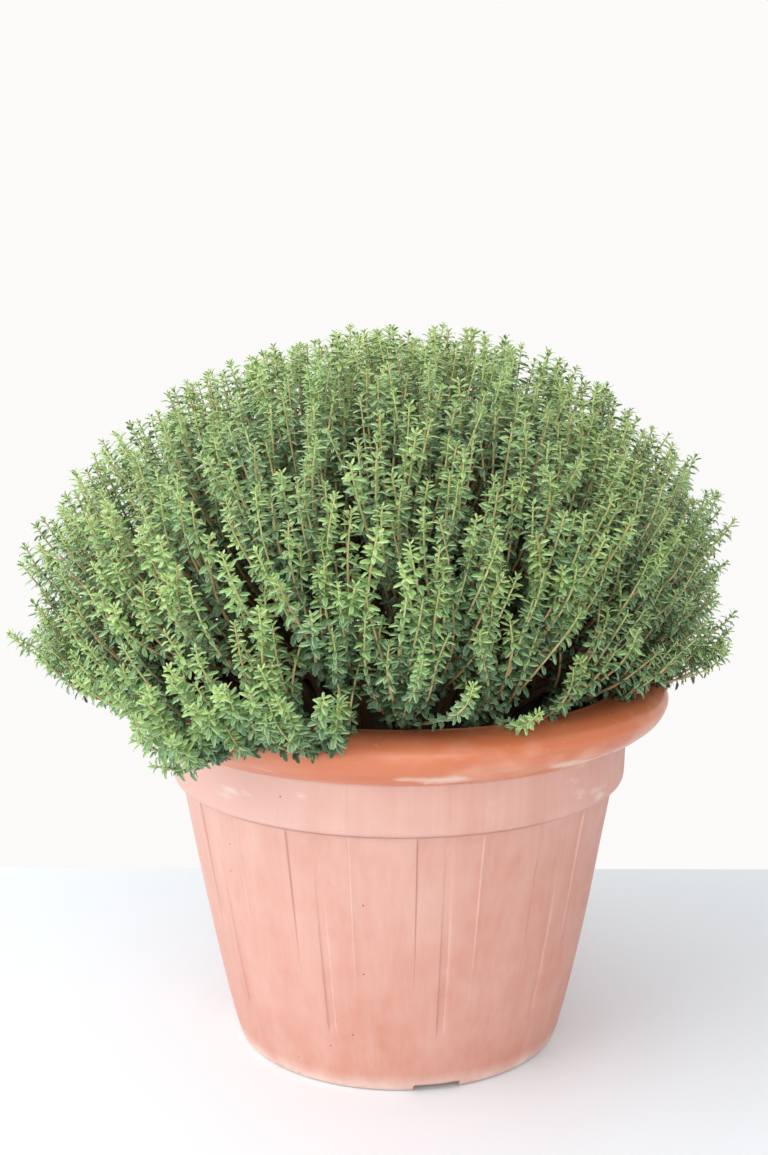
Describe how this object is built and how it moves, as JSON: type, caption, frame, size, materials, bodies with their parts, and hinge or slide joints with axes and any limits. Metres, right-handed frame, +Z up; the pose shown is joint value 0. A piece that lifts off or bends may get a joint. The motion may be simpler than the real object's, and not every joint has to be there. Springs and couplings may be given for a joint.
{
  "type": "potted thyme",
  "caption": "Dense dome of common thyme on forking woody stems, filling a faded terracotta-coloured plastic pot with a rolled collar and shallow vertical flutes.",
  "frame": {"origin": "centre of the pot's foot on the surface that it stands on", "axes": "+Z up along the pot's axis; -Y is the front, with the gap under the foot just right of it; +X to the right"},
  "size_m": [0.3802, 0.3867, 0.396],
  "materials": {
    "terracotta_plastic": "satin",
    "potting_soil": "matte",
    "thyme_foliage": "matte",
    "young_thyme_foliage": "matte"
  },
  "bodies": {
    "root": {"pot": "terracotta_plastic", "potting_soil": "potting_soil", "branch_top": "thyme_foliage", "branch_upper_1": "thyme_foliage", "branch_upper_2": "thyme_foliage", "branch_upper_3": "thyme_foliage", "branch_upper_4": "thyme_foliage", "branch_upper_5": "thyme_foliage", "branch_upper_6": "thyme_foliage", "branch_middle_1": "thyme_foliage", "branch_middle_2": "thyme_foliage", "branch_middle_3": "thyme_foliage", "branch_middle_4": "thyme_foliage", "branch_middle_5": "thyme_foliage", "branch_middle_6": "thyme_foliage", "branch_middle_7": "thyme_foliage", "branch_middle_8": "thyme_foliage", "branch_middle_9": "thyme_foliage", "branch_middle_10": "thyme_foliage", "branch_middle_11": "thyme_foliage", "branch_lower_1": "thyme_foliage", "branch_lower_2": "thyme_foliage", "branch_lower_3": "thyme_foliage", "branch_lower_4": "thyme_foliage", "branch_lower_5": "thyme_foliage", "branch_lower_6": "thyme_foliage", "branch_lower_7": "thyme_foliage", "branch_lower_8": "thyme_foliage", "branch_lower_9": "thyme_foliage", "branch_lower_10": "thyme_foliage", "branch_lower_11": "thyme_foliage", "branch_lower_12": "thyme_foliage", "branch_lower_13": "thyme_foliage", "branch_lower_14": "thyme_foliage", "branch_rim_1": "thyme_foliage", "branch_rim_2": "thyme_foliage", "branch_rim_3": "thyme_foliage", "branch_rim_4": "thyme_foliage", "branch_rim_5": "thyme_foliage", "branch_rim_6": "thyme_foliage", "branch_rim_7": "thyme_foliage", "branch_rim_8": "thyme_foliage", "branch_rim_9": "thyme_foliage", "branch_rim_10": "thyme_foliage", "branch_rim_11": "thyme_foliage", "branch_rim_12": "thyme_foliage", "branch_rim_13": "thyme_foliage", "branch_rim_14": "thyme_foliage", "branch_trailing_1": "young_thyme_foliage", "branch_trailing_2": "young_thyme_foliage", "branch_trailing_3": "young_thyme_foliage", "branch_trailing_4": "young_thyme_foliage", "branch_trailing_5": "young_thyme_foliage", "branch_trailing_6": "young_thyme_foliage", "branch_trailing_7": "young_thyme_foliage", "branch_trailing_8": "young_thyme_foliage", "branch_trailing_9": "young_thyme_foliage", "branch_trailing_10": "young_thyme_foliage"}
  },
  "joints": []
}
